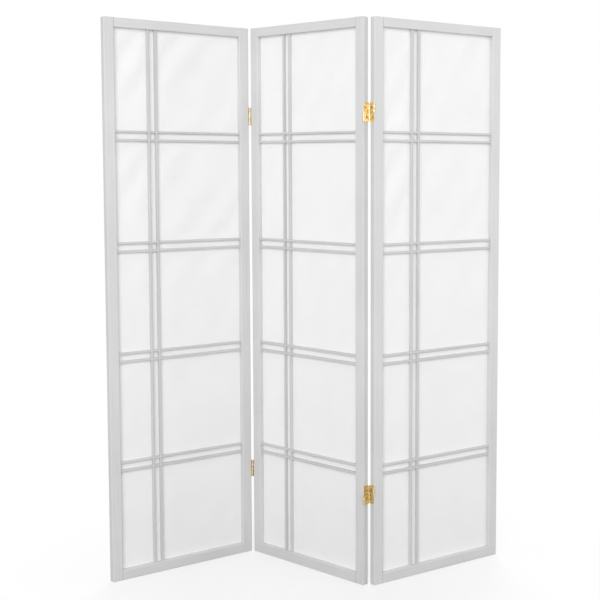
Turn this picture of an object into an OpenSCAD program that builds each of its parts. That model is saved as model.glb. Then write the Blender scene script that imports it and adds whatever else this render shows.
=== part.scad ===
// Three-panel folding shoji screen: wooden frames with a half-lapped lattice and paper, joined by double-acting hinges.
// Millimetres. The middle panel stands on the origin along X and faces -Y; +Z is up.

/* [Panels] */
// Height of each panel
panel_h = 1524; // [1200:1:1900]
// Width of each panel
panel_w = 437; // [380:1:520]
// Thickness of each panel
panel_t = 19; // [18:0.5:24]
// Gap between the edges of two panels when the screen is flat
panel_gap = 5; // [4.5:0.5:7.5]
// Angle that the left panel is folded to the front, from flat
fold_left = 78.5; // [0:0.5:178]
// Angle that the right panel is folded to the back, from flat
fold_right = 77; // [0:0.5:178]

/* [Frame] */
// Width of the stiles
stile_w = 29; // [25:0.5:40]
// Height of the top rail
top_rail_h = 25.4; // [22:0.2:40]
// Height of the bottom rail
bottom_rail_h = 28; // [22:0.5:40]
// Radius of the eased long edges of stiles and rails
edge_r = 2; // [1:0.5:3]
// Radius of each panel's four corners, seen from the front
corner_r = 3; // [1:0.5:6]
// Thickness of the rail tenons
tenon_t = 7; // [5:0.5:8]
// Length of the rail tenons
tenon_l = 18; // [12:1:22]
// Shoulder above and below each tenon
tenon_shoulder = 5; // [3:0.5:7]
// Clearance round tenons, housings and half-laps
joint_clear = 0.1; // [0.05:0.05:0.3]

/* [Lattice] */
// Width of each lattice bar, seen from the front
bar_w = 6.2; // [5:0.2:9]
// Depth of each lattice bar, front to back
bar_d = 9; // [6:0.5:9]
// Distance between the two bars of a pair, centre to centre
pair_pitch = 22.5; // [16:0.5:30]
// Number of pairs of cross bars
pair_count = 4; // [1:1:6]
// Clear width between the left stile and the first upright
left_light_w = 96.5; // [60:0.5:160]
// Length of each bar end that is housed in the frame
bar_end = 5; // [3:0.5:7]
// Radius of the bars' rounded front edges
nose_r = 1.2; // [0.6:0.2:2]

/* [Paper and beads] */
// Thickness of the paper
paper_t = 0.4; // [0.3:0.1:0.8]
// Width that the paper laps onto the frame
paper_lap = 6.5; // [6:0.5:7]
// Width of the rebate at the back of the frame
rebate_w = 8; // [7.5:0.5:12]
// Thickness of the beads that hold the paper
bead_t = 4.2; // [3:0.1:4.4]
// Radius of the beads' rounded inner edge
bead_r = 2.5; // [1:0.5:2.5]
// Distance from the back face of the frame to the backs of the beads
bead_setback = 0.4; // [0.2:0.1:1]

/* [Hinges] */
// Height of each hinge
hinge_h = 50; // [40:1:70]
// Distance from each end of a panel to the middle of its hinge
hinge_inset = 249; // [100:1:400]
// Outer diameter of the knuckles
barrel_d = 6; // [5.5:0.5:8]
// Clearance between the knuckles and the edges of the stiles
barrel_clear = 0.5; // [0.4:0.1:1]
// Gap between the faces of two panels that are folded shut
shut_gap = 3; // [2:0.5:6]
// Thickness of the leaves and links
plate_t = 1.2; // [1:0.1:1.6]
// Distance from the edges of a leaf to the faces of its panel
leaf_margin = 1.5; // [1:0.5:3]
// Diameter of the hinge pins
pin_d = 2.6; // [2.2:0.1:3]
// Radial clearance of a pin in its own leaf
pin_hold = 0.02; // [0.01:0.01:0.04]
// Radial clearance of a pin in the link that turns on it
pin_run = 0.06; // [0.05:0.01:0.1]
// Gap between neighbouring knuckles, and round them
knuckle_gap = 0.4; // [0.3:0.1:0.6]
// Diameter of the holes in the links that reach the screws
access_d = 7.2; // [6.5:0.1:8]

/* [Screws] */
// Diameter of the screw shanks
screw_d = 3; // [2.5:0.1:3.5]
// Diameter of the countersunk heads
screw_head_d = 5.8; // [5:0.1:6.4]
// Length of the screws
screw_l = 14; // [10:1:16]
// Width of the cross slots in the heads
slot_w = 0.8; // [0.6:0.1:1]
// Depth of the cross slots in the heads
slot_depth = 0.8; // [0.5:0.1:1]
// Radial clearance round the screws
screw_clear = 0.1; // [0.05:0.05:0.2]

/* [Hidden] */
$fn = 48;
eps = 0.01;
opening_w = panel_w - 2 * stile_w;
opening_h = panel_h - top_rail_h - bottom_rail_h;
opening_mid = bottom_rail_h + opening_h / 2;

// The paper lies on a ledge whose depth follows from the beads behind it; the lattice ends level with that ledge.
ledge_y = panel_t / 2 - bead_setback - bead_t - paper_t;
bar_mid_y = ledge_y - bar_d / 2;
pair_w = pair_pitch + bar_w;
light_h = (opening_h - pair_count * pair_w) / (pair_count + 1);
upright_x = [for (i = [0, 1]) -opening_w / 2 + left_light_w + bar_w / 2 + i * pair_pitch];
cross_z = [for (p = [0:pair_count - 1], i = [0, 1])
    bottom_rail_h + (p + 1) * light_h + p * pair_w + bar_w / 2 + i * pair_pitch];

// The hinge axes stand far enough out for the knuckles to clear the eased edges of the stiles.
axis_out = max(shut_gap / 2,
    sqrt(pow(barrel_d / 2 + edge_r + barrel_clear, 2) - pow(panel_gap / 2 + edge_r, 2)) - edge_r);
axis_y = panel_t / 2 + axis_out;
joint_x = panel_w / 2 + panel_gap / 2;
leaf_w = panel_t - 2 * leaf_margin;
leaf_face = barrel_d / 2 - plate_t;
half_z = knuckle_gap / 2;
half_h = hinge_h / 2 - half_z;
knuckle_h = (half_h - 2 * knuckle_gap) / 3;
screw_z = half_z + half_h / 2;
hinge_z = [hinge_inset, panel_h - hinge_inset];
low_z = hinge_z[0];
high_z = hinge_z[1];

wood = [0.87, 0.87, 0.86];
paper = [0.95, 0.95, 0.93];
brass = [0.84, 0.68, 0.36];

// Rectangle with rounded corners, centred.
module rounded_section(w, d, r) {
    square([w - 2 * r, d], center = true);
    square([w, d - 2 * r], center = true);
    for (sx = [-1, 1], sy = [-1, 1])
        translate([sx * (w / 2 - r), sy * (d / 2 - r)])
            circle(r);
}

// Section of a lattice bar: width along X, front at -Y, with the two front edges rounded.
module bar_section() {
    translate([-bar_w / 2, -bar_d / 2 + nose_r])
        square([bar_w, bar_d - nose_r]);
    translate([-bar_w / 2 + nose_r, -bar_d / 2])
        square([bar_w - 2 * nose_r, bar_d]);
    for (s = [-1, 1])
        translate([s * (bar_w / 2 - nose_r), -bar_d / 2 + nose_r])
            circle(nose_r);
}

// Places of the panels: each outer panel turns on the hinge axis that it is folded about.
module on_left_panel() {
    translate([-joint_x, -axis_y, 0])
        rotate([0, 0, fold_left])
            translate([-joint_x, axis_y, 0])
                children();
}

module on_right_panel() {
    translate([joint_x, axis_y, 0])
        rotate([0, 0, fold_right])
            translate([joint_x, -axis_y, 0])
                children();
}

// Places of a hinge: on the right edge or the left edge of a panel, at height z.
module at_right_edge(z) {
    translate([joint_x, 0, z])
        children();
}

module at_left_edge(z) {
    translate([-joint_x, 0, z])
        rotate([0, 0, 180])
            children();
}

// Space of the rebate round the back of the opening.
module rebate_space() {
    translate([-opening_w / 2 - rebate_w, ledge_y, bottom_rail_h - rebate_w])
        cube([opening_w + 2 * rebate_w, panel_t, opening_h + 2 * rebate_w]);
}

// Lattice bars at their full section, and the housings that are cut for their ends.
module upright_bar(x) {
    length = opening_h + 2 * bar_end;
    translate([x, bar_mid_y, opening_mid - length / 2])
        linear_extrude(length)
            bar_section();
}

module upright_space(x) {
    width = bar_w + 2 * joint_clear;
    depth = bar_d + joint_clear;
    length = opening_h + 2 * bar_end + 2 * joint_clear;
    translate([x - width / 2, ledge_y - depth, opening_mid - length / 2])
        cube([width, depth + eps, length]);
}

module cross_bar(z) {
    length = opening_w + 2 * bar_end;
    translate([-length / 2, bar_mid_y, z])
        rotate([90, 0, 90])
            linear_extrude(length)
                rotate([0, 0, -90])
                    bar_section();
}

module cross_space(z) {
    width = bar_w + 2 * joint_clear;
    depth = bar_d + joint_clear;
    length = opening_w + 2 * bar_end + 2 * joint_clear;
    translate([-length / 2, ledge_y - depth, z - width / 2])
        cube([length, depth + eps, width]);
}

// Tenons of the rail whose middle is at height z, or, with a clearance, the mortises for them.
module tenons(z, rail_h, clear = 0) {
    length = opening_w + 2 * tenon_l + 2 * clear;
    thickness = tenon_t + 2 * clear;
    height = rail_h - 2 * tenon_shoulder + 2 * clear;
    translate([-length / 2, -thickness / 2, z - height / 2])
        cube([length, thickness, height]);
}

// Stile on the left (side -1) or right (side 1) of a panel; a hinged one has gains and pilot holes in its edge.
module stile(side, hinged) {
    color(wood)
        difference() {
            intersection() {
                translate([side * (panel_w - stile_w) / 2, 0, 0])
                    linear_extrude(panel_h)
                        rounded_section(stile_w, panel_t, edge_r);
                translate([0, panel_t / 2, panel_h / 2])
                    rotate([90, 0, 0])
                        linear_extrude(panel_t)
                            rounded_section(panel_w, panel_h, corner_r);
            }
            rebate_space();
            tenons(bottom_rail_h / 2, bottom_rail_h, joint_clear);
            tenons(panel_h - top_rail_h / 2, top_rail_h, joint_clear);
            for (z = cross_z)
                cross_space(z);
            if (hinged)
                for (z = hinge_z)
                    if (side > 0)
                        at_right_edge(z)
                            leaf_space();
                    else
                        at_left_edge(z)
                            leaf_space();
        }
}

// Rail with its tenons; z is the height of its middle.
module rail(z, rail_h) {
    color(wood) {
        difference() {
            translate([-opening_w / 2, 0, z])
                rotate([90, 0, 90])
                    linear_extrude(opening_w)
                        rounded_section(panel_t, rail_h, edge_r);
            rebate_space();
            for (x = upright_x)
                upright_space(x);
        }
        difference() {
            tenons(z, rail_h);
            translate([-opening_w / 2, -panel_t, 0])
                cube([opening_w, 2 * panel_t, panel_h]);
        }
    }
}

module rail_top() {
    rail(panel_h - top_rail_h / 2, top_rail_h);
}

module rail_bottom() {
    rail(bottom_rail_h / 2, bottom_rail_h);
}

// The uprights keep their front half at each crossing, the cross bars their back half.
module uprights() {
    color(wood)
        for (x = upright_x)
            difference() {
                upright_bar(x);
                for (z = cross_z)
                    translate([x - bar_w, bar_mid_y, z - bar_w / 2 - joint_clear])
                        cube([2 * bar_w, bar_d, bar_w + 2 * joint_clear]);
            }
}

module cross_bars() {
    color(wood)
        for (z = cross_z)
            difference() {
                cross_bar(z);
                for (x = upright_x)
                    translate([x - bar_w / 2 - joint_clear, bar_mid_y - bar_d, z - bar_w])
                        cube([bar_w + 2 * joint_clear, bar_d + joint_clear, 2 * bar_w]);
            }
}

module paper_sheet() {
    width = opening_w + 2 * paper_lap;
    height = opening_h + 2 * paper_lap;
    color(paper)
        translate([-width / 2, ledge_y, opening_mid - height / 2])
            cube([width, paper_t, height]);
}

// Section of a bead: the corner by the opening, at the back, is rounded.
module bead_section() {
    width = rebate_w - joint_clear;
    intersection() {
        square([width, bead_t]);
        union() {
            square([width - bead_r, bead_t]);
            square([width, bead_t - bead_r]);
            translate([width - bead_r, bead_t - bead_r])
                circle(bead_r);
        }
    }
}

module beads() {
    bead_y = ledge_y + paper_t;
    tall = opening_h + 2 * rebate_w - 2 * joint_clear;
    wide = opening_w - 2 * joint_clear;
    color(wood) {
        for (turn = [0, 1])
            mirror([turn, 0, 0])
                translate([-opening_w / 2 - rebate_w + joint_clear, bead_y, opening_mid - tall / 2])
                    linear_extrude(tall)
                        bead_section();
        for (turn = [0, 1])
            translate([0, 0, opening_mid])
                mirror([0, 0, turn])
                    translate([-wide / 2, bead_y, -opening_h / 2 - rebate_w + joint_clear])
                        rotate([90, 0, 90])
                            linear_extrude(wide)
                                mirror([1, -1, 0])
                                    bead_section();
    }
}

// Hinge pieces are drawn for the right edge of a panel: Z is the middle of the gap, the panel lies toward -X.
// Each leaf and its pins look the same when turned half a turn about X: knuckles high at the back, low at the front.
module both_halves() {
    for (turn = [0, 180])
        rotate([turn, 0, 0])
            children();
}

module knuckle(i) {
    translate([0, 0, half_z + i * (knuckle_h + knuckle_gap)])
        cylinder(d = barrel_d, h = knuckle_h);
}

// Room for the knuckles of the other piece, from the i-th to the j-th.
module knuckle_space(i, j) {
    low = half_z + i * (knuckle_h + knuckle_gap) - knuckle_gap;
    height = (j - i + 1) * (knuckle_h + knuckle_gap) + knuckle_gap;
    translate([0, 0, low])
        cylinder(d = barrel_d + 2 * knuckle_gap, h = height);
}

module half_leaf() {
    difference() {
        union() {
            translate([-barrel_d / 2, -leaf_w / 2, 0])
                cube([plate_t, leaf_w, hinge_h / 2]);
            translate([-barrel_d / 2, 0, half_z])
                cube([plate_t, axis_y, half_h]);
            translate([0, axis_y, 0])
                for (i = [0, 2])
                    knuckle(i);
        }
        translate([0, axis_y, 0])
            knuckle_space(1, 1);
        translate([0, axis_y, 0])
            cylinder(d = pin_d + 2 * pin_hold, h = hinge_h);
        translate([0, -axis_y, -knuckle_gap])
            cylinder(d = barrel_d + 2 * knuckle_gap, h = hinge_h);
        translate([0, axis_y, -hinge_h + knuckle_gap / 2])
            cylinder(d = barrel_d + 2 * knuckle_gap, h = hinge_h);
        screw_at_leaf(screw_clear);
    }
}

module leaf() {
    color(brass)
        both_halves()
            half_leaf();
}

// Gain in the stile for a leaf, with the pilot holes of its screws.
module leaf_space() {
    both_halves() {
        translate([-barrel_d / 2 - eps, -leaf_w / 2 - joint_clear, -eps])
            cube([barrel_d, leaf_w + axis_y, hinge_h / 2 + joint_clear]);
        screw_at_leaf(screw_clear);
    }
}

// Link between the two axes: it turns on a pin of one leaf at the back and on a pin of the other at the front.
module link() {
    color(brass)
        difference() {
            union() {
                difference() {
                    translate([-plate_t / 2, -axis_y, half_z])
                        cube([plate_t, 2 * axis_y, half_h]);
                    for (s = [-1, 1], i = [0, 2])
                        translate([0, s * axis_y, 0])
                            knuckle_space(i, i);
                }
                for (s = [-1, 1])
                    translate([0, s * axis_y, 0])
                        knuckle(1);
            }
            for (s = [-1, 1])
                translate([0, s * axis_y, 0])
                    cylinder(d = pin_d + 2 * pin_run, h = hinge_h);
            translate([0, 0, screw_z])
                rotate([0, 90, 0])
                    cylinder(d = access_d, h = barrel_d, center = true);
        }
}

module high_link() {
    link();
}

module low_link() {
    rotate([180, 0, 0])
        link();
}

module leaf_pins() {
    color(brass)
        both_halves()
            translate([0, axis_y, half_z])
                cylinder(d = pin_d, h = half_h);
}

// Countersunk screw along -X, with its head level with the leaf.
module screw_at_leaf(clear = 0) {
    head_h = (screw_head_d - screw_d) / 2;
    tip_h = screw_d;
    translate([-leaf_face, 0, screw_z])
        rotate([0, -90, 0])
            rotate_extrude()
                polygon([
                    [0, clear > 0 ? -plate_t : 0],
                    [screw_head_d / 2 + clear, clear > 0 ? -plate_t : 0],
                    [screw_head_d / 2 + clear, 0],
                    [screw_d / 2 + clear, head_h],
                    [screw_d / 2 + clear, screw_l - tip_h],
                    [0, screw_l + clear]
                ]);
}

module leaf_screws() {
    color(brass)
        both_halves()
            difference() {
                screw_at_leaf();
                for (turn = [0, 90])
                    translate([-leaf_face, 0, screw_z])
                        rotate([turn, 0, 0])
                            cube([2 * slot_depth, slot_w, screw_d + slot_w], center = true);
            }
}

// Left panel.
module left_stile_left() on_left_panel() stile(-1, false);
module left_stile_right() on_left_panel() stile(1, true);
module left_rail_top() on_left_panel() rail_top();
module left_rail_bottom() on_left_panel() rail_bottom();
module left_uprights() on_left_panel() uprights();
module left_cross_bars() on_left_panel() cross_bars();
module left_paper() on_left_panel() paper_sheet();
module left_beads() on_left_panel() beads();

// Centre panel.
module centre_stile_left() stile(-1, true);
module centre_stile_right() stile(1, true);
module centre_rail_top() rail_top();
module centre_rail_bottom() rail_bottom();
module centre_uprights() uprights();
module centre_cross_bars() cross_bars();
module centre_paper() paper_sheet();
module centre_beads() beads();

// Right panel.
module right_stile_left() on_right_panel() stile(-1, true);
module right_stile_right() on_right_panel() stile(1, false);
module right_rail_top() on_right_panel() rail_top();
module right_rail_bottom() on_right_panel() rail_bottom();
module right_uprights() on_right_panel() uprights();
module right_cross_bars() on_right_panel() cross_bars();
module right_paper() on_right_panel() paper_sheet();
module right_beads() on_right_panel() beads();

// Left connection, folded about its front axis: the high links go with the left panel, the low ones stay.
module left_upper_outer_leaf() on_left_panel() at_right_edge(high_z) leaf();
module left_upper_inner_leaf() at_left_edge(high_z) leaf();
module left_upper_high_link() on_left_panel() at_right_edge(high_z) high_link();
module left_upper_low_link() at_left_edge(high_z) low_link();
module left_lower_outer_leaf() on_left_panel() at_right_edge(low_z) leaf();
module left_lower_inner_leaf() at_left_edge(low_z) leaf();
module left_lower_high_link() on_left_panel() at_right_edge(low_z) high_link();
module left_lower_low_link() at_left_edge(low_z) low_link();

// Right connection, folded about its back axis: the high links go with the right panel, the low ones stay.
module right_upper_outer_leaf() on_right_panel() at_left_edge(high_z) leaf();
module right_upper_inner_leaf() at_right_edge(high_z) leaf();
module right_upper_high_link() on_right_panel() at_left_edge(high_z) high_link();
module right_upper_low_link() at_right_edge(high_z) low_link();
module right_lower_outer_leaf() on_right_panel() at_left_edge(low_z) leaf();
module right_lower_inner_leaf() at_right_edge(low_z) leaf();
module right_lower_high_link() on_right_panel() at_left_edge(low_z) high_link();
module right_lower_low_link() at_right_edge(low_z) low_link();

// Pins and screws, with the panel whose leaves hold them.
module left_hinge_pins() on_left_panel() for (z = hinge_z) at_right_edge(z) leaf_pins();
module right_hinge_pins() on_right_panel() for (z = hinge_z) at_left_edge(z) leaf_pins();
module centre_hinge_pins() for (z = hinge_z) { at_left_edge(z) leaf_pins(); at_right_edge(z) leaf_pins(); }
module left_hinge_screws() on_left_panel() for (z = hinge_z) at_right_edge(z) leaf_screws();
module right_hinge_screws() on_right_panel() for (z = hinge_z) at_left_edge(z) leaf_screws();
module centre_hinge_screws() for (z = hinge_z) { at_left_edge(z) leaf_screws(); at_right_edge(z) leaf_screws(); }

left_stile_left();
left_stile_right();
left_rail_top();
left_rail_bottom();
left_uprights();
left_cross_bars();
left_paper();
left_beads();
centre_stile_left();
centre_stile_right();
centre_rail_top();
centre_rail_bottom();
centre_uprights();
centre_cross_bars();
centre_paper();
centre_beads();
right_stile_left();
right_stile_right();
right_rail_top();
right_rail_bottom();
right_uprights();
right_cross_bars();
right_paper();
right_beads();
left_upper_outer_leaf();
left_upper_inner_leaf();
left_upper_high_link();
left_upper_low_link();
left_lower_outer_leaf();
left_lower_inner_leaf();
left_lower_high_link();
left_lower_low_link();
right_upper_outer_leaf();
right_upper_inner_leaf();
right_upper_high_link();
right_upper_low_link();
right_lower_outer_leaf();
right_lower_inner_leaf();
right_lower_high_link();
right_lower_low_link();
left_hinge_pins();
centre_hinge_pins();
right_hinge_pins();
left_hinge_screws();
centre_hinge_screws();
right_hinge_screws();
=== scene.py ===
# %% [markdown]
# # A folding shoji screen
# Three white frames, each with a lattice of slim bars over paper, stand in a zigzag on double-acting brass hinges.
# The CAD frame already holds every wooden and brass piece at its true size. This script gives each surface its finish,
# replaces the dead-flat paper by sheets that ripple a little, and sets up the light and the camera.

# %% Load the frame
import math

import bpy
import numpy as np
from mathutils import Matrix, Vector


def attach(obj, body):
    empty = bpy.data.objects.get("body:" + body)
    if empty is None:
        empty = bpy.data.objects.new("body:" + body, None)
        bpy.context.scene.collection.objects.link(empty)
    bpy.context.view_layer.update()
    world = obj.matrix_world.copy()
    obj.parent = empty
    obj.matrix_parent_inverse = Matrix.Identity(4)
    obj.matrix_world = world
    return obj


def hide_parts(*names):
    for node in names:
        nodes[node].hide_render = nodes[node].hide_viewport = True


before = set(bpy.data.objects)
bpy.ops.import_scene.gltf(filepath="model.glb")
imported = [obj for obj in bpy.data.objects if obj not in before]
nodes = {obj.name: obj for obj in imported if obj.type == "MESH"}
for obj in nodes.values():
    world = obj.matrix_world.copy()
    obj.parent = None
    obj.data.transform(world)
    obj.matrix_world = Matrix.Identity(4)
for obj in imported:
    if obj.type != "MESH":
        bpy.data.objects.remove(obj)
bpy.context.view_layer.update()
PANELS = ("left", "centre", "right")

# %% [markdown]
# The outer panels stand turned on their hinges, so their pieces don't line up with X and Y. Grain, paper and ripples
# must follow each panel. The turn could be typed in again here, but measuring it keeps the script true to the frame:
# the line from one stile to the other gives the panel's width direction, and the lattice tells which side is the front.

# %% Measure each panel
UP = np.array([0.0, 0.0, 1.0])


def corners(node):
    """All vertices of a CAD node as an N by 3 array, in metres."""
    mesh = nodes[node].data
    flat = np.empty(3 * len(mesh.vertices))
    mesh.vertices.foreach_get("co", flat)
    return flat.reshape(-1, 3)


def middle(node):
    """The point half way between a node's lowest and highest corner."""
    points = corners(node)
    return (points.min(0) + points.max(0)) / 2


def panel_axes(panel):
    """Centre of the paper, unit vector across the panel, and unit vector out of its front."""
    across = middle(f"{panel}_stile_right") - middle(f"{panel}_stile_left")
    across = across / np.linalg.norm(across)
    front = np.array([across[1], -across[0], 0.0])
    origin = middle(f"{panel}_paper")
    side = np.sign(np.dot(middle(f"{panel}_uprights") - origin, front))
    return {"origin": origin, "across": across, "up": UP, "front": side * front}


axes = {panel: panel_axes(panel) for panel in PANELS}
turn = {panel: math.atan2(axes[panel]["across"][1], axes[panel]["across"][0]) for panel in PANELS}
for panel in PANELS:
    print(panel, "panel turned by", round(math.degrees(turn[panel]), 2), "degrees")

# %% [markdown]
# Every finish below is a node tree, and the same steps come back in each: add a node, set its values, link it to the
# ones before it. A few small helpers keep the finishes short to read, so that each cell shows only what is special.

# %% Node helpers
def add(tree, kind, inputs=None, **settings):
    """Adds a shader node, sets its properties, then sets or links its inputs, by name or by number."""
    made = tree.nodes.new(kind)
    for name, value in settings.items():
        setattr(made, name, value)
    for name, value in (inputs or {}).items():
        if isinstance(value, bpy.types.NodeSocket):
            tree.links.new(value, made.inputs[name])
        else:
            made.inputs[name].default_value = value
    return made


def new_group(name, inputs, outputs):
    """An empty node group with these sockets, then its input node and its output node."""
    group = bpy.data.node_groups.new(name, "ShaderNodeTree")
    for label, kind, value in inputs:
        socket = group.interface.new_socket(label, in_out="INPUT", socket_type=kind)
        if value is not None:
            socket.default_value = value
    for label in outputs:
        group.interface.new_socket(label, in_out="OUTPUT", socket_type="NodeSocketFloat")
    return group, group.nodes.new("NodeGroupInput"), group.nodes.new("NodeGroupOutput")


def new_material(name, **constants):
    """A material whose Principled shader has these constants, with its tree and its shader."""
    material = bpy.data.materials.new(name)
    material.use_nodes = True
    shader = material.node_tree.nodes["Principled BSDF"]
    for socket, value in constants.items():
        shader.inputs[socket.replace("_", " ")].default_value = value
    return material, material.node_tree, shader


def seen_directly(tree):
    """1 for rays from the camera, from a mirror or through glass, and 0 for rays that carry soft light."""
    path = add(tree, "ShaderNodeLightPath")
    mirror = add(tree, "ShaderNodeMath", {0: path.outputs["Is Camera Ray"], 1: path.outputs["Is Glossy Ray"]},
                 operation="MAXIMUM")
    return add(tree, "ShaderNodeMath", {0: mirror.outputs[0], 1: path.outputs["Is Transmission Ray"]},
               operation="MAXIMUM").outputs[0]


def ramp(tree, value, low, high):
    """Colour that goes from low to high as value goes from 0 to 1."""
    made = add(tree, "ShaderNodeValToRGB", {"Fac": value})
    made.color_ramp.elements[0].color = (*low, 1.0)
    made.color_ramp.elements[1].color = (*high, 1.0)
    return made.outputs["Color"]


# %% [markdown]
# Brushed paint on wood is never even. The bristles and the grain below leave fine streaks along the piece, and the
# coat is a little thicker here and thinner there. One group makes both: noise drawn out along X for the streaks, and
# broad clouds for the coat. Each material turns its coordinates first, so that X runs along its own pieces.

# %% Group for brushed streaks
DRAWN_ALONG_X = (1 / 50, 1.0, 1.0)


def streak_group():
    """Streaks are noise whose X runs fifty times slower than its Y and Z. Clouds are broad, even noise."""
    group, given, out = new_group(
        "brushed_streaks",
        [("Vector", "NodeSocketVector", None), ("Fine", "NodeSocketFloat", 260.0), ("Broad", "NodeSocketFloat", 6.0)],
        ["Streaks", "Clouds"])
    drawn = add(group, "ShaderNodeVectorMath", {0: given.outputs["Vector"], 1: DRAWN_ALONG_X}, operation="MULTIPLY")
    fine = add(group, "ShaderNodeTexNoise", {"Vector": drawn.outputs[0], "Scale": given.outputs["Fine"],
                                             "Detail": 5.0, "Roughness": 0.62, "Distortion": 0.25})
    broad = add(group, "ShaderNodeTexNoise", {"Vector": given.outputs["Vector"], "Scale": given.outputs["Broad"],
                                              "Detail": 3.0, "Roughness": 0.5})
    group.links.new(fine.outputs["Fac"], out.inputs["Streaks"])
    group.links.new(broad.outputs["Fac"], out.inputs["Clouds"])
    return group


streaks = streak_group()
print("group", streaks.name, [item.name for item in streaks.interface.items_tree])

# %% [markdown]
# The frames and the lattice are wood under white satin paint. In the photograph the paint is a neutral light grey, a
# step darker than the paper. The slim bars get the same paint a little greyer, which is painted shade for the darker
# look the bars have in this light. One function makes the finish for each direction in which the grain can run: up, for
# stiles and lattice uprights, and across each of the panels.

# %% White painted wood
# The lattice grey is the frame's white paint made darker: painted shade on the slim bars.
FRAME_GREY, LATTICE_PAINTED_SHADE_GREY, TONE_STEP = 0.68, 0.62, 0.03


def painted_wood(name, rotation, grey):
    """White satin paint around a grey tone. Rotation turns the piece's long direction onto X, where streaks run."""
    material, tree, shader = new_material(name, IOR=1.46)
    place = add(tree, "ShaderNodeTexCoord")
    turned = add(tree, "ShaderNodeMapping", {"Vector": place.outputs["Object"], "Rotation": rotation})
    brush = add(tree, "ShaderNodeGroup", {"Vector": turned.outputs[0]}, node_tree=streaks)
    both = add(tree, "ShaderNodeMath", {0: brush.outputs["Streaks"], 1: brush.outputs["Clouds"]}, operation="ADD")
    tone = add(tree, "ShaderNodeMapRange", {"Value": both.outputs[0], "From Min": 0.75, "From Max": 1.25})
    gloss = add(tree, "ShaderNodeMapRange", {"Value": brush.outputs["Streaks"], "To Min": 0.38, "To Max": 0.58})
    relief = add(tree, "ShaderNodeBump", {"Height": brush.outputs["Streaks"], "Strength": 0.2, "Distance": 0.0005})
    colour = ramp(tree, tone.outputs[0], (grey - TONE_STEP,) * 3, (grey + TONE_STEP,) * 3)
    tree.links.new(colour, shader.inputs["Base Color"])
    tree.links.new(gloss.outputs[0], shader.inputs["Roughness"])
    tree.links.new(relief.outputs[0], shader.inputs["Normal"])
    return material


upright = (0.0, math.radians(90.0), 0.0)
level = {panel: (0.0, 0.0, -turn[panel]) for panel in PANELS}
stile_paint = painted_wood("white_paint_stiles", upright, FRAME_GREY)
# Lattice uprights and cross bars take the darker lattice grey, painted shade on the bars.
bar_paint = painted_wood("white_paint_uprights", upright, LATTICE_PAINTED_SHADE_GREY)
rail_paint = {panel: painted_wood(f"white_paint_rails_{panel}", level[panel], FRAME_GREY) for panel in PANELS}
cross_paint = {panel: painted_wood(f"white_paint_cross_bars_{panel}", level[panel], LATTICE_PAINTED_SHADE_GREY) for panel in PANELS}
print("paints", stile_paint.name, bar_paint.name, len(rail_paint) + len(cross_paint), "across the panels")

# %% [markdown]
# Stiles, beads and lattice uprights get the upright grain, and rails and cross bars get the grain of their own panel.
# A node's slots already exist in the frame, so only the material in each slot changes.

# %% Paint the wooden pieces
def coat(node, material):
    """Puts the material in every slot of a CAD node."""
    for slot in nodes[node].material_slots:
        slot.material = material


for panel in PANELS:
    for piece in ("stile_left", "stile_right", "beads"):
        coat(f"{panel}_{piece}", stile_paint)
    for piece in ("rail_top", "rail_bottom"):
        coat(f"{panel}_{piece}", rail_paint[panel])
    coat(f"{panel}_uprights", bar_paint)
    coat(f"{panel}_cross_bars", cross_paint[panel])
print("painted", 7 * len(PANELS), "nodes")

# %% [markdown]
# The hinges are pressed brass, lacquered and a little handled. Handling dulls the metal in soft patches and leaves
# specks in the lacquer. The group gives a patch mask and a speck mask, which shift both colour and roughness.

# %% Group for handled metal
def handled_group():
    """Patches are soft clouds with raised contrast. Specks are the insides of small random cells."""
    group, given, out = new_group(
        "handled_metal",
        [("Vector", "NodeSocketVector", None), ("Scale", "NodeSocketFloat", 160.0)],
        ["Patches", "Specks"])
    cloud = add(group, "ShaderNodeTexNoise", {"Vector": given.outputs["Vector"], "Scale": given.outputs["Scale"],
                                              "Detail": 4.0, "Roughness": 0.6})
    patch = add(group, "ShaderNodeMapRange", {"Value": cloud.outputs["Fac"], "From Min": 0.38, "From Max": 0.66},
                interpolation_type="SMOOTHSTEP")
    cells = add(group, "ShaderNodeTexVoronoi", {"Vector": given.outputs["Vector"], "Scale": 900.0})
    speck = add(group, "ShaderNodeMapRange", {"Value": cells.outputs["Distance"], "From Min": 0.1, "From Max": 0.22,
                                              "To Min": 1.0, "To Max": 0.0}, interpolation_type="SMOOTHSTEP")
    group.links.new(patch.outputs[0], out.inputs["Patches"])
    group.links.new(speck.outputs[0], out.inputs["Specks"])
    return group


handled = handled_group()
print("group", handled.name, [item.name for item in handled.interface.items_tree])

# %% [markdown]
# Leaves and links are bright brass, the pins are turned rod and smoother, and the slotted screws are a darker brass.
# All three come from one function with its own tone and roughness.

# %% Brass
SPECK_SHARE = 0.35


def brass(name, dull, bright, smooth, rough):
    """Metal that goes from bright to dull, and from smooth to rough, with the patches and specks of handling."""
    material, tree, shader = new_material(name, Metallic=1.0)
    place = add(tree, "ShaderNodeTexCoord")
    worn = add(tree, "ShaderNodeGroup", {"Vector": place.outputs["Object"]}, node_tree=handled)
    shade = add(tree, "ShaderNodeMath", {0: worn.outputs["Specks"], 1: SPECK_SHARE, 2: worn.outputs["Patches"]},
                operation="MULTIPLY_ADD", use_clamp=True)
    gloss = add(tree, "ShaderNodeMapRange", {"Value": shade.outputs[0], "To Min": smooth, "To Max": rough})
    relief = add(tree, "ShaderNodeBump", {"Height": worn.outputs["Patches"], "Strength": 0.12, "Distance": 0.0002})
    tree.links.new(ramp(tree, shade.outputs[0], bright, dull), shader.inputs["Base Color"])
    tree.links.new(gloss.outputs[0], shader.inputs["Roughness"])
    tree.links.new(relief.outputs[0], shader.inputs["Normal"])
    return material


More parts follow.
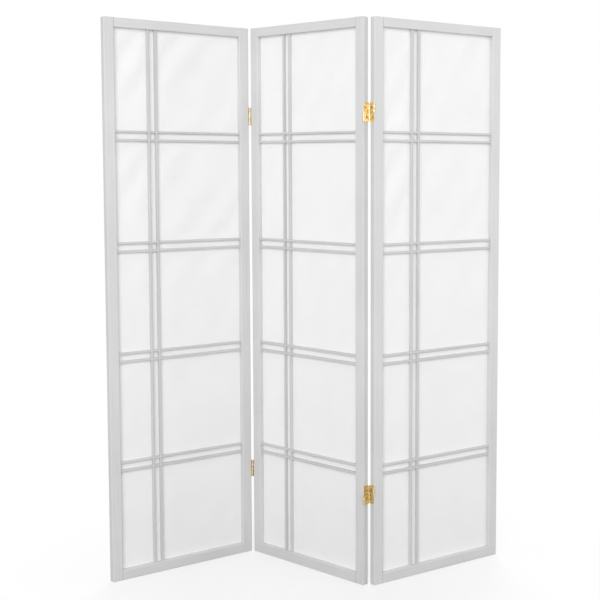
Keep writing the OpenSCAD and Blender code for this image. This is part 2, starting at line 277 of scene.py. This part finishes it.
hinge_brass = brass("lacquered_brass", dull=(0.54, 0.41, 0.2), bright=(0.84, 0.69, 0.42), smooth=0.32, rough=0.46)
pin_brass = brass("turned_brass", dull=(0.66, 0.5, 0.25), bright=(0.82, 0.66, 0.36), smooth=0.2, rough=0.34)
screw_brass = brass("slotted_screw_brass", dull=(0.5, 0.37, 0.14), bright=(0.64, 0.48, 0.2), smooth=0.34, rough=0.5)
for node in nodes:
    if node.endswith(("_leaf", "_link")):
        coat(node, hinge_brass)
    elif node.endswith("_hinge_pins"):
        coat(node, pin_brass)
    elif node.endswith("_hinge_screws"):
        coat(node, screw_brass)
print("brass", hinge_brass.name, pin_brass.name, screw_brass.name)

# %% [markdown]
# Shoji paper is glued to the back of the lattice, brushed with water, and dries tight. It lies flat along every bar
# and along the frame, and between them it keeps faint slanting ripples. The lines that hold it are measured here: the
# inner edges of stiles and rails, and both edges of each bar. A bar is found as a cluster of vertices.

# %% Lines that hold the paper
BAR_BREAK = 0.008


def places(panel, node, axis):
    """Sorted distances of a node's vertices from the middle of its panel's paper, along one panel direction."""
    return np.sort((corners(f"{panel}_{node}") - axes[panel]["origin"]) @ axes[panel][axis])


def bar_edges(panel, node, axis):
    """Two edges for each bar of a node. A step of more than BAR_BREAK between sorted vertices starts a new bar."""
    sorted_places = places(panel, node, axis)
    breaks = np.flatnonzero(np.diff(sorted_places) > BAR_BREAK) + 1
    return np.concatenate([[bar[0], bar[-1]] for bar in np.split(sorted_places, breaks)])


def held_lines(panel):
    """Where the paper is held: outer edge, frame edge, bar edges, frame edge, outer edge, for both directions."""
    wide = places(panel, "paper", "across")
    tall = places(panel, "paper", "up")
    across = np.concatenate([[wide[0], places(panel, "stile_left", "across")[-1]],
                             bar_edges(panel, "uprights", "across"),
                             [places(panel, "stile_right", "across")[0], wide[-1]]])
    up = np.concatenate([[tall[0], places(panel, "rail_bottom", "up")[-1]],
                         bar_edges(panel, "cross_bars", "up"),
                         [places(panel, "rail_top", "up")[0], tall[-1]]])
    return across, up


held = {panel: held_lines(panel) for panel in PANELS}
for panel, (across, up) in held.items():
    print(panel, "held across at mm", np.round(across * 1000, 1), "and up at", len(up), "lines")

# %% [markdown]
# The ripples are a sum of slanting waves with random lengths, plus a few sharper creases, all faded to nothing at the
# held lines. In the photograph they rise to the right, show most on the left sheet, and grow towards the top, so each
# sheet has its own slack. Modelling them keeps their soft shading right in any light, which a bump map alone would not.
# Grid lines lie on every held line, so that the paper stays exactly flat behind the bars.

# %% Ripples in the paper
GRID_STEP = 0.008
FADE_REACH, FULL_PANE = 0.028, 0.06
SLACK = {"left": 0.0008, "centre": 0.0003, "right": 0.0006}
WAVES, FOOT_SHARE = 4, 0.2
CREASE_HEIGHT, CREASE_POWER = 0.00022, 10


def grid_lines(lines):
    """Places between the first and last line that include every line, at most one grid step apart."""
    parts = [np.linspace(a, b, max(2, math.ceil((b - a) / GRID_STEP) + 1))[:-1]
             for a, b in zip(lines[:-1], lines[1:])]
    return np.concatenate(parts + [lines[-1:]])


def fade(at, lines):
    """0 on held strips and 1 inside panes, by a smooth step over the fade reach. Narrow panes get a smaller share."""
    total = np.zeros_like(at)
    for a, b in zip(lines[1:-1:2], lines[2:-1:2]):
        near = np.clip(np.minimum(at - a, b - at) / min(FADE_REACH, (b - a) / 2), 0.0, 1.0)
        total += near * near * (3 - 2 * near) * min(1.0, (b - a) / FULL_PANE)
    return total


def ripple(u, v, seed, slack):
    """Height in metres: four slanting sine waves of 70 to 120 mm, as high as the slack near the top and a fifth of it
    near the foot, and two families of creases, which are one minus the size of a sine, raised to the tenth power so
    that only a thin ridge is left."""
    random = np.random.default_rng(seed)
    height = np.zeros_like(u)
    wave = slack * np.clip(1.6 * (v - v.min()) / np.ptp(v) - 0.3, FOOT_SHARE, 1.0)
    for _ in range(WAVES):
        slant, length, phase = random.uniform((0.5, 0.07, 0.0), (0.8, 0.12, 2 * math.pi))
        height += wave * np.sin(2 * math.pi * (u * math.cos(slant) - v * math.sin(slant)) / length + phase)
    for way in (1.0, -1.0):
        slant, length, phase = random.uniform((0.6, 0.16, 0.0), (1.0, 0.26, math.pi))
        line = np.sin(math.pi * (u * math.cos(slant) + way * v * math.sin(slant)) / length + phase)
        height += CREASE_HEIGHT * (1 - np.abs(line)) ** CREASE_POWER
    return height


for panel in PANELS:
    print(panel, "grid", [len(grid_lines(lines)) for lines in held[panel]])

# %% [markdown]
# Each sheet is built as one grid of quads in its panel's own directions, then thickened evenly to the paper's real
# thickness. It takes the place of the flat CAD sheet and rides on the same panel.

# %% Build the paper sheets
SEED = {"left": 4, "centre": 11, "right": 23}


def paper_sheet(panel, seed):
    """A grid at the paper's middle plane, moved along the panel's front by ripple times the fade of both directions."""
    across, up = held[panel]
    x, z = grid_lines(across), grid_lines(up)
    u, v = np.meshgrid(x, z)
    rise = ripple(u, v, seed, SLACK[panel]) * np.outer(fade(z, up), fade(x, across))
    a = axes[panel]
    points = a["origin"] + u[..., None] * a["across"] + v[..., None] * a["up"] + rise[..., None] * a["front"]
    number = np.arange(u.size).reshape(u.shape)
    quads = np.stack([number[:-1, :-1], number[:-1, 1:], number[1:, 1:], number[1:, :-1]], axis=-1).reshape(-1, 4)
    mesh = bpy.data.meshes.new(f"{panel}_paper_sheet")
    mesh.from_pydata(points.reshape(-1, 3), [], quads)
    mesh.polygons.foreach_set("use_smooth", np.ones(len(quads), dtype=bool))
    sheet = bpy.data.objects.new(f"{panel}_paper_sheet", mesh)
    bpy.context.scene.collection.objects.link(sheet)
    depth = np.ptp(places(panel, "paper", "front"))
    thick = sheet.modifiers.new("paper thickness", "SOLIDIFY")
    thick.thickness, thick.offset = depth, 0.0
    print(panel, "paper", len(quads), "quads, ripple mm", np.round([rise.min() * 1000, rise.max() * 1000], 2))
    return sheet, (float(np.ptp(across)), float(np.ptp(up)))


sheets = {}
for panel in PANELS:
    sheets[panel], flat_size = paper_sheet(panel, SEED[panel])
    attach(sheets[panel], f"{panel}_panel")
    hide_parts(f"{panel}_paper")

# %% [markdown]
# Close up, shoji paper is a felt of long fibres. Some gather into pale strands, and the sheet is cloudy where the pulp
# is thicker. The group draws strands as the thin zero lines of drawn-out noise at two slants, next to broad clouds.

# %% Group for paper fibres
STRAND_SLANTS, STRAND_EDGE = (35.0, -50.0), 0.03
DRAWN_STRANDS = (0.15, 1.0, 1.0)


def fibre_group():
    """Strands are where slanted, drawn-out noise is close to one half. Clouds are broad, even noise."""
    group, given, out = new_group(
        "paper_fibres",
        [("Vector", "NodeSocketVector", None), ("Scale", "NodeSocketFloat", 70.0)],
        ["Strands", "Clouds"])
    strands = []
    for slant in STRAND_SLANTS:
        turned = add(group, "ShaderNodeMapping", {"Vector": given.outputs["Vector"],
                                                  "Rotation": (0.0, math.radians(slant), 0.0)})
        drawn = add(group, "ShaderNodeVectorMath", {0: turned.outputs[0], 1: DRAWN_STRANDS}, operation="MULTIPLY")
        noise = add(group, "ShaderNodeTexNoise", {"Vector": drawn.outputs[0], "Scale": given.outputs["Scale"],
                                                  "Detail": 2.0, "Distortion": 1.2})
        off = add(group, "ShaderNodeMath", {0: noise.outputs["Fac"], 1: 0.5}, operation="SUBTRACT")
        size = add(group, "ShaderNodeMath", {0: off.outputs[0]}, operation="ABSOLUTE")
        strand = add(group, "ShaderNodeMapRange", {"Value": size.outputs[0], "From Min": 0.0, "From Max": STRAND_EDGE,
                                                   "To Min": 1.0, "To Max": 0.0})
        strands.append(strand)
    joined = add(group, "ShaderNodeMath", {0: strands[0].outputs[0], 1: strands[1].outputs[0]}, operation="MAXIMUM")
    clouds = add(group, "ShaderNodeTexNoise", {"Vector": given.outputs["Vector"], "Scale": 9.0, "Detail": 5.0,
                                               "Roughness": 0.55})
    group.links.new(joined.outputs[0], out.inputs["Strands"])
    group.links.new(clouds.outputs["Fac"], out.inputs["Clouds"])
    return group


fibres = fibre_group()
print("group", fibres.name, [item.name for item in fibres.interface.items_tree])

# %% [markdown]
# The paper is the brightest thing in the photograph, a neutral white without any shine. Clouds and strands move its
# tone by only a few hundredths, so that they show close up and melt into the white from a distance. Light also soaks
# through so thin a sheet, which softens the shade beside each bar and shows the lattice faintly from behind.

# %% Paper finish
PAPER_GREY, PAPER_WHITE = 0.868, 0.893
STRAND_SHARE = 0.12


def paper_finish(name, rotation):
    """Matt, translucent white. Clouds carry most of the tone, strands a little, and the strands stand up slightly."""
    material, tree, shader = new_material(name, Roughness=0.85, IOR=1.4, Subsurface_Weight=0.8,
                                          Subsurface_Radius=(1.0, 1.0, 1.0), Subsurface_Scale=0.0003)
    place = add(tree, "ShaderNodeTexCoord")
    turned = add(tree, "ShaderNodeMapping", {"Vector": place.outputs["Object"], "Rotation": rotation})
    felt = add(tree, "ShaderNodeGroup", {"Vector": turned.outputs[0]}, node_tree=fibres)
    tone = add(tree, "ShaderNodeMath", {0: felt.outputs["Strands"], 1: STRAND_SHARE, 2: felt.outputs["Clouds"]},
               operation="MULTIPLY_ADD")
    spread = add(tree, "ShaderNodeMapRange", {"Value": tone.outputs[0], "From Min": 0.32, "From Max": 0.78})
    relief = add(tree, "ShaderNodeBump", {"Height": tone.outputs[0], "Strength": 0.15, "Distance": 0.0006})
    colour = ramp(tree, spread.outputs[0], (PAPER_GREY,) * 3, (PAPER_WHITE,) * 3)
    tree.links.new(colour, shader.inputs["Base Color"])
    tree.links.new(relief.outputs[0], shader.inputs["Normal"])
    return material


for panel in PANELS:
    paper = paper_finish(f"shoji_paper_{panel}", level[panel])
    sheets[panel].data.materials.append(paper)
    coat(f"{panel}_paper", paper)
print("paper finishes", [sheets[panel].data.materials[0].name for panel in PANELS])

# %% [markdown]
# The screen stands on a pale studio floor. Near the screen the floor is a lit white sweep that still takes a faint
# shadow. Further out it fades to plain white for the camera, as such a sweep does, so no horizon shows.

# %% Floor
def studio_floor(size=2.0, near=0.3, far=0.95, near_white=0.5, soft_grey=0.4, seen_grey=0.97):
    """A square at height zero. For camera rays its matt shader is mixed with white, by the near share up to the near
    radius and fully past the far one. Rays of soft light meet a darker floor, which dims the foot of the screen."""
    half = size / 2
    mesh = bpy.data.meshes.new("floor")
    edge_points = [(-half, -half, 0.0), (half, -half, 0.0), (half, half, 0.0), (-half, half, 0.0)]
    mesh.from_pydata(edge_points, [], [(0, 1, 2, 3)])
    floor = bpy.data.objects.new("floor", mesh)
    bpy.context.scene.collection.objects.link(floor)
    material, tree, shader = new_material("floor_white", Roughness=0.9)
    place = add(tree, "ShaderNodeTexCoord")
    radius = add(tree, "ShaderNodeVectorMath", {0: place.outputs["Object"]}, operation="LENGTH")
    away = add(tree, "ShaderNodeMapRange", {"Value": radius.outputs["Value"], "From Min": near, "From Max": far,
                                            "To Min": near_white, "To Max": 1.0}, interpolation_type="SMOOTHSTEP")
    seen = seen_directly(tree)
    share = add(tree, "ShaderNodeMath", {0: away.outputs[0], 1: seen}, operation="MULTIPLY")
    tree.links.new(ramp(tree, seen, (soft_grey,) * 3, (seen_grey,) * 3), shader.inputs["Base Color"])
    white = add(tree, "ShaderNodeEmission", {"Color": (1.0, 1.0, 1.0, 1.0), "Strength": 1.0})
    mixed = add(tree, "ShaderNodeMixShader", {0: share.outputs[0], 1: shader.outputs[0], 2: white.outputs[0]})
    tree.links.new(mixed.outputs[0], tree.nodes["Material Output"].inputs["Surface"])
    mesh.materials.append(material)
    return floor


floor = studio_floor()
print("floor", tuple(round(side, 2) for side in floor.dimensions))

# %% [markdown]
# The photograph was taken in even light: all three panels are about as bright, each cross bar leaves a soft shade below
# it, and the uprights leave hardly any to either side. So a large soft light stands behind and above the camera, a
# small one at the far right lifts only the right panel, a high one behind the screen keeps its back from going dull,
# and a white surround fills from all sides. Camera rays, and mirror rays in the brass, see the surround as plain white.

# %% Light
def surround(fill):
    """World that shines with the fill strength on matt surfaces, and looks plain white to camera and mirror rays."""
    world = bpy.data.worlds.new("white_surround")
    world.use_nodes = True
    tree = world.node_tree
    tree.nodes.clear()
    soft = add(tree, "ShaderNodeBackground", {"Color": (1.0, 1.0, 1.0, 1.0), "Strength": fill})
    white = add(tree, "ShaderNodeBackground", {"Color": (1.0, 1.0, 1.0, 1.0), "Strength": 1.0})
    mixed = add(tree, "ShaderNodeMixShader", {0: seen_directly(tree), 1: soft.outputs[0], 2: white.outputs[0]})
    out = add(tree, "ShaderNodeOutputWorld")
    tree.links.new(mixed.outputs[0], out.inputs["Surface"])
    bpy.context.scene.world = world


def soft_light(name, place, target, size, power):
    """A square area light at a place, turned to face the target."""
    data = bpy.data.lights.new(name, "AREA")
    data.size, data.energy = size, power
    lamp = bpy.data.objects.new(name, data)
    lamp.matrix_world = (Matrix.Translation(place)
                         @ (Vector(target) - Vector(place)).to_track_quat("-Z", "Y").to_matrix().to_4x4())
    bpy.context.scene.collection.objects.link(lamp)
    return lamp


AIM = (0.0, 0.0, 0.85)
surround(fill=0.59)
lamps = [soft_light("front_light", place=(3.9, -5.3, 2.9), target=AIM, size=3.6, power=248.0),
         soft_light("right_light", place=(2.6, 1.5, 1.4), target=AIM, size=1.0, power=8.0),
         soft_light("back_light", place=(-3.6, 4.2, 4.2), target=AIM, size=3.6, power=150.0)]
print("lights", [(lamp.name, lamp.data.energy) for lamp in lamps])

# %% [markdown]
# The camera was found from the photograph: the corners of the three panels, whose sizes are known, fix where it
# stood. It looks across the screen from the right front, at about chest height, and tilts down by under five degrees.
# The picture is a crop of a wider one, so the lens is shifted a little.

# %% Camera
def camera_at(eye, heading, pitch, roll, lens, shift):
    """A camera that looks along +Y, turned left by heading, tipped down by pitch, then rolled about its view."""
    h, p, r = (math.radians(angle) for angle in (heading, pitch, roll))
    ahead = Vector((-math.sin(h) * math.cos(p), math.cos(h) * math.cos(p), -math.sin(p)))
    side = Vector((math.cos(h), math.sin(h), 0.0))
    top = side.cross(ahead)
    right, up = side * math.cos(r) + top * math.sin(r), top * math.cos(r) - side * math.sin(r)
    data = bpy.data.cameras.new("camera")
    data.lens, data.sensor_width = lens, 36.0
    data.shift_x, data.shift_y = shift
    camera = bpy.data.objects.new("camera", data)
    camera.matrix_world = Matrix.Translation(eye) @ Matrix((right, up, -ahead)).transposed().to_4x4()
    bpy.context.scene.collection.objects.link(camera)
    bpy.context.scene.camera = camera
    return camera


camera = camera_at(eye=(2.2824, -2.2665, 1.1315), heading=40.619, pitch=4.624, roll=0.15, lens=69.41,
                   shift=(-0.1667, -0.0656))
bpy.context.scene.view_settings.view_transform = "Standard"
print("camera at", tuple(round(c, 3) for c in camera.location), "lens", round(camera.data.lens, 2))
